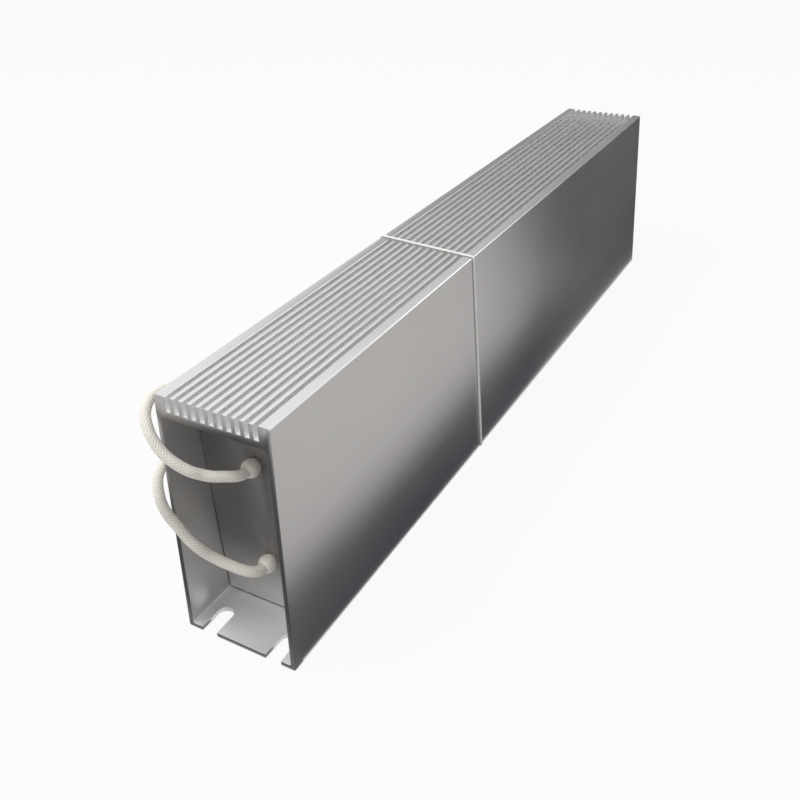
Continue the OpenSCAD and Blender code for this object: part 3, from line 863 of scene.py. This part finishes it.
finishes.update({
    "cement": grainy("cement", (0.46, 0.44, 0.40, 1), (0.66, 0.64, 0.58, 1), 900.0, 0.9, 0.12 * MM, 0.4),
    "mineral_powder": grainy("mineral powder", (0.60, 0.57, 0.50, 1), (0.78, 0.75, 0.68, 1), 1600.0, 0.95,
                             0.1 * MM, 0.3),
    "mica": mica(),
    "resistance_wire": plated("resistance wire", (0.36, 0.34, 0.33, 1), (0.50, 0.47, 0.45, 1), 0.38),
    "plated_steel": plated("plated steel", (0.62, 0.61, 0.58, 1), (0.74, 0.73, 0.70, 1), 0.32),
    "rivet_steel": plated("rivet steel", (0.55, 0.54, 0.52, 1), (0.68, 0.67, 0.65, 1), 0.36, ROLLED),
    "plated_copper": plated("plated copper", (0.66, 0.62, 0.56, 1), (0.78, 0.75, 0.70, 1), 0.34),
    "lug_tin": plated("tinned lug", (0.60, 0.60, 0.60, 1), (0.76, 0.76, 0.75, 1), 0.3, PRESSED),
})
print("finishes:", len(finishes))

# %% [markdown]
# Each solid already says which finish it wants, by the name of its slot in the record. The new pieces get
# theirs by name too.

# %% Give every piece its finish
NEW_PIECES = {
    upper_sleeve: "lead_sleeve", lower_sleeve: "lead_sleeve", string_tie: "tie_string",
    upper_bead: "bushing_ceramic", lower_bead: "bushing_ceramic",
}
for piece, finish_name in NEW_PIECES.items():
    piece.data.materials.clear()
    piece.data.materials.append(finishes[finish_name])
for node in nodes.values():
    for slot in node.material_slots:
        slot.material = finishes[slot.name.split(".")[0]]
print("finished", len(NEW_PIECES), "new pieces and", len(nodes), "solids")

# %% [markdown]
# ## Eased edges
# A saw or a press leaves an edge that is broken by a tenth of a millimetre, and that small flat is what
# glints. The solids have dead sharp cut ends, so a merged copy of each gets a narrow bevel. Around the
# plates the bevel also opens the thin dark seam that shows where a plate sits between the walls.

# %% Ease the cut edges
TOUCHING = 0.01 * MM
SAME_POINT = 0.0005 * MM
SAME_PLANE = math.radians(0.5)
SHARP = math.radians(35)


def outer_top_edge(place):
    """Whether a place is on one of the two long edges where a side meets the top."""
    return abs(place.x) > SIDE - TOUCHING and place.z > TOP - TOUCHING


def eased(name, node_name, width, rounded=None, radius=0.0):
    """A merged copy of a solid, with its sharp edges bevelled. The edges whose two ends are both
    rounded(place) get the larger radius first."""
    mesh = nodes[node_name].data.copy()
    mesh.name = name
    shape = bmesh.new()
    shape.from_mesh(mesh)
    bmesh.ops.remove_doubles(shape, verts=shape.verts, dist=SAME_POINT)
    bmesh.ops.dissolve_limit(shape, angle_limit=SAME_PLANE, verts=shape.verts, edges=shape.edges)
    if rounded:
        long_edges = [edge for edge in shape.edges if all(rounded(vertex.co) for vertex in edge.verts)]
        bmesh.ops.bevel(shape, geom=long_edges, offset=radius, offset_type="OFFSET", segments=3,
                        profile=0.5, affect="EDGES")
        print("rounded", len(long_edges), "long edges")
    shape.to_mesh(mesh)
    shape.free()
    mesh.shade_smooth()
    piece = bpy.data.objects.new(name, mesh)
    bpy.context.scene.collection.objects.link(piece)
    bevel = piece.modifiers.new("eased", "BEVEL")
    bevel.width = width
    bevel.segments = 2
    bevel.angle_limit = SHARP
    bevel.harden_normals = True
    bevel.use_clamp_overlap = False
    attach(piece, "root")
    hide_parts(node_name)
    print(name, "has", len(mesh.polygons), "faces before its bevel")


eased("cut_housing", "housing", 0.13 * MM, outer_top_edge, 0.5 * MM)
eased("pressed_front_plate", "front_end_plate", 0.3 * MM)
eased("pressed_rear_plate", "rear_end_plate", 0.3 * MM)

# %% [markdown]
# ## The floor and the world
# The floor is plain and pale, and so is the world. Both are white wherever they are seen, directly or in
# the metal, and dimmer for the light that they throw on the object. The floor is mixed from a glowing
# shader and a little plain paper, because only the paper takes a shadow.

# %% Build the floor and the world
FLOOR_SIZE = 4.0
FLOOR_DOWN = -0.1 * MM
FLOOR_SHINE = 0.92
DIM = 0.52


def seen(finish):
    """1 for rays from the camera and for rays that metal or glass sends on, 0 for all others."""
    kinds = [finish.add("ShaderNodeLightPath", output=f"Is {kind} Ray")
             for kind in ("Camera", "Glossy", "Transmission")]
    return kinds[0].math("MAXIMUM", kinds[1].math("MAXIMUM", kinds[2]))


def flat_piece(name, corners):
    """One flat face that belongs to the studio and not to the object."""
    mesh = bpy.data.meshes.new(name)
    mesh.from_pydata(corners, [], [(0, 1, 2, 3)])
    card = bpy.data.objects.new(name, mesh)
    bpy.context.scene.collection.objects.link(card)
    card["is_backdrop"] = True
    return card


def level(left, right, near, far, up):
    """The four corners of a level rectangle."""
    return [(left, near, up), (right, near, up), (right, far, up), (left, far, up)]


def mixed(finish, share, one, other):
    """Shader one where the share is 0, and the other where it is 1."""
    return finish.show(finish.add("ShaderNodeMixShader", {}, {0: share, 1: one, 2: other}))


def glow(finish, colour):
    """A shader that shows its colour in any light."""
    return finish.add("ShaderNodeEmission", {}, {"Color": colour, "Strength": 1.0})


floor = flat_piece("floor", level(-FLOOR_SIZE, FLOOR_SIZE, -FLOOR_SIZE, FLOOR_SIZE, FLOOR_DOWN))
pale = Finish("pale floor")
paper = pale.add("ShaderNodeBsdfDiffuse", {}, {"Color": grey(0.6)})
floor.data.materials.append(mixed(pale, seen(pale) * FLOOR_SHINE, paper, glow(pale, grey(1.0))))

world = bpy.data.worlds.new("studio")
bpy.context.scene.world = world
air = Finish("studio", world)
sky = air.add("ShaderNodeBackground", {}, {"Color": grey(1.0), "Strength": DIM + (1 - DIM) * seen(air)})
air.show(sky, "ShaderNodeOutputWorld")
bpy.context.scene.view_settings.view_transform = "Standard"
print("floor", FLOOR_SIZE * 2, "m wide")

# %% [markdown]
# ## The lamps
# A large soft lamp overhead, a little to the left, gives the light its direction. It is kept out of the
# metal, where it would show as a white square. A weaker one behind the right side shows only as the thin
# bright line along the rounded top edge. Light that enters a slot between two fins is passed on many
# times before it comes out, so more bounces are allowed than usual.

# %% Hang the lamps
LAMP_SIZE = 0.7


def lamp(name, place, aim, watts, mirrored=True):
    """A square lamp at a place, turned towards its aim."""
    data = bpy.data.lights.new(name, "AREA")
    data.shape, data.size, data.energy = "SQUARE", LAMP_SIZE, watts
    light = bpy.data.objects.new(name, data)
    light.location = place
    way = Vector(aim) - Vector(place)
    light.rotation_euler = way.to_track_quat("-Z", "Y").to_euler()
    light.visible_glossy = mirrored
    bpy.context.scene.collection.objects.link(light)
    print(name, watts, "W from", round(way.length, 2), "m")


lamp("overhead lamp", (-0.45, -0.5, 1.15), (0, -0.1, 0.05), 11.5, mirrored=False)
lamp("edge lamp", (0.9, 1.1, 0.9), (0, 0, 0.1), 2.5)
bpy.context.scene.cycles.max_bounces = 16
bpy.context.scene.cycles.glossy_bounces = 12

# %% [markdown]
# ## The cards
# Bare metal shows nothing but its surroundings, so a photographer puts grey cards beside it, outside the
# picture. These cards do the same work: they are seen only in reflections. The one on the right gives the
# side its dark lower band and its darker far end, the one in front darkens the cut ends, and the one at
# the back lets the fins fade towards the far end.

# %% Put up the cards
CARD_UP = 0.5 * MM


def card(name, corners, shade):
    """A grey card that only reflections show. shade(x, y, z) gives two colours and the share of the
    second one; the first may be None, which leaves the card clear there."""
    piece = flat_piece(name, corners)
    piece.visible_camera = False
    piece.visible_diffuse = False
    piece.visible_shadow = False
    piece.visible_transmission = False
    finish = Finish(name)
    first, second, share = shade(*finish.axes())
    under = glow(finish, first) if first else finish.add("ShaderNodeBsdfTransparent")
    piece.data.materials.append(mixed(finish, share, under, glow(finish, second)))
    print(name, "put up")


def side_shade(x, y, z):
    """Pale, with a dark strip along the housing and a dark far part that begins on a slant. The strip is a
    painted shadow of the housing, which only the side's reflection shows.
    """
    strip = (1 - x.between(0.053, 0.066)) * (0.94 + 0.06 * y.between(-0.22, -0.10))
    far = (1.03 - 0.8 * x) * (y - 1.1 * (x - 0.06)).between(0.0, 0.23)
    return (0.655, 0.642, 0.63, 1), (0.066, 0.065, 0.077, 1), strip.math("MAXIMUM", far)


def front_shade(x, y, z):
    """Dark on the right, and a little paler close to the housing."""
    dark = y.finish.mix(y.between(-0.215, -0.203), (0.085, 0.082, 0.085, 1), (0.26, 0.255, 0.25, 1))
    return grey(0.8), dark, x.between(-0.155, -0.10)


def back_shade(x, y, z):
    """Grey below, and clear above."""
    return None, grey(0.38), 1 - z.between(0.5, 1.7)


card("card on the right", level(SIDE + 0.6 * MM, 1.5, -0.6, 2.5, CARD_UP), side_shade)
card("card in front", level(-0.25, 0.3, -0.7, FRONT + 5 * MM, CARD_UP), front_shade)
card("card at the back", [(-3, 1.5, 0), (1.5, 1.5, 0), (1.5, 1.5, 1.8), (-3, 1.5, 1.8)], back_shade)

# %% [markdown]
# ## The size, and the end
# The dressed model has to keep the size of the solid one, so both boxes are written down side by side.

# %% Write the sizes and finish
dressed_box = [list(corner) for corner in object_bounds()]
for low_or_high, solid, dressed in zip(("low", "high"), solid_box, dressed_box):
    print(low_or_high, [round(v / MM, 2) for v in solid], "dressed", [round(v / MM, 2) for v in dressed])
